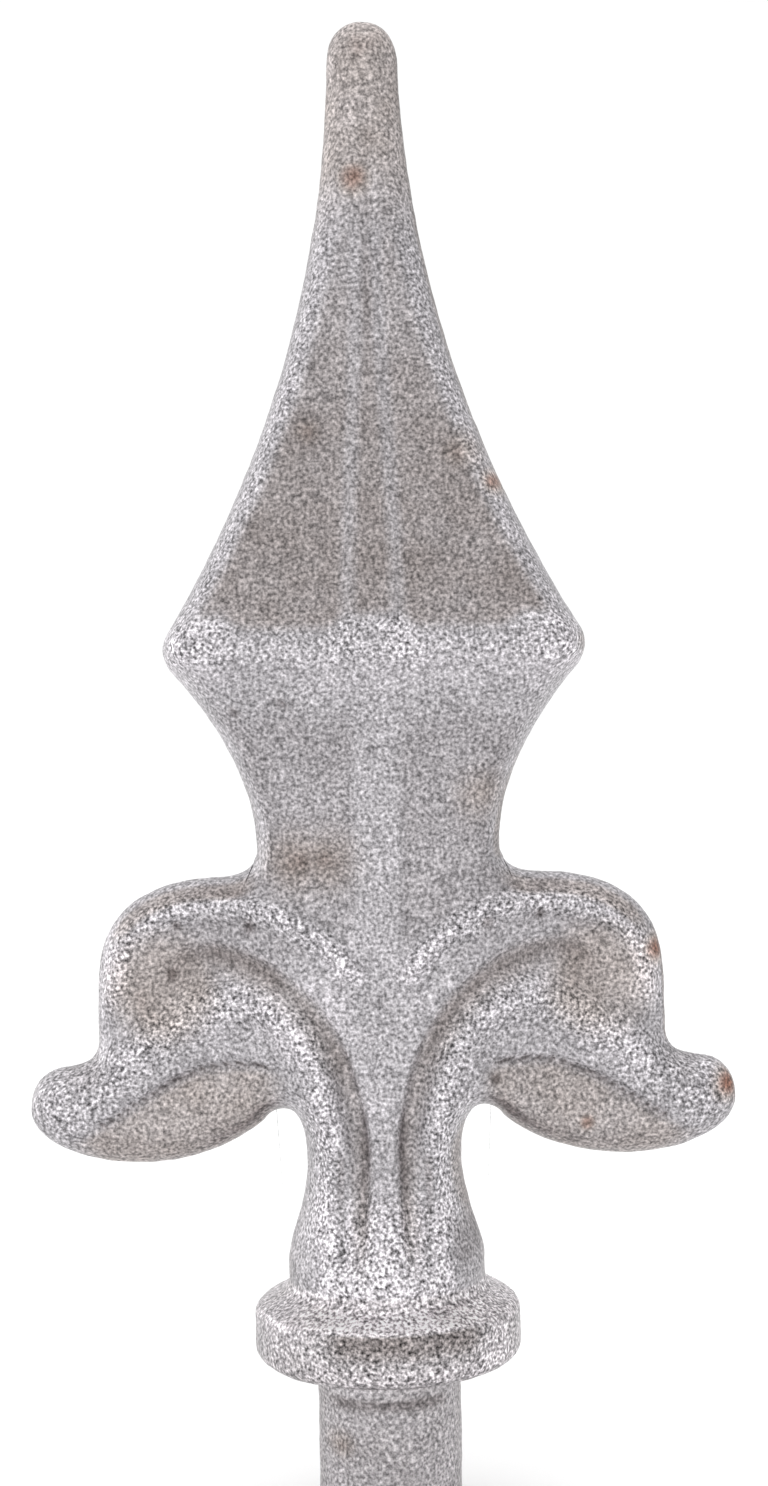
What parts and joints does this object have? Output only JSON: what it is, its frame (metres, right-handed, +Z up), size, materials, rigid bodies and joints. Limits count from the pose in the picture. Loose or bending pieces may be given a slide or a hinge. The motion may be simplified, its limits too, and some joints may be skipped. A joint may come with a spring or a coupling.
{
  "type": "fence finial",
  "caption": "Drop-forged spear-point fence finial: ribbed four-sided blade, waisted neck with curled leaves, round bulb and collar, and a plain round stem that is welded to a picket.",
  "frame": {"origin": "centre of the stem's flat lower end", "axes": "+Z up the stem to the spear's point, X across the leaves, Y through the thickness"},
  "size_m": [0.0702, 0.0264, 0.1498],
  "materials": {
    "forged_steel": "bare shot-blasted forging, satin grey with a fine sparkle and small rust specks"
  },
  "bodies": {
    "root": {"spear_finial": "forged_steel"}
  },
  "joints": []
}
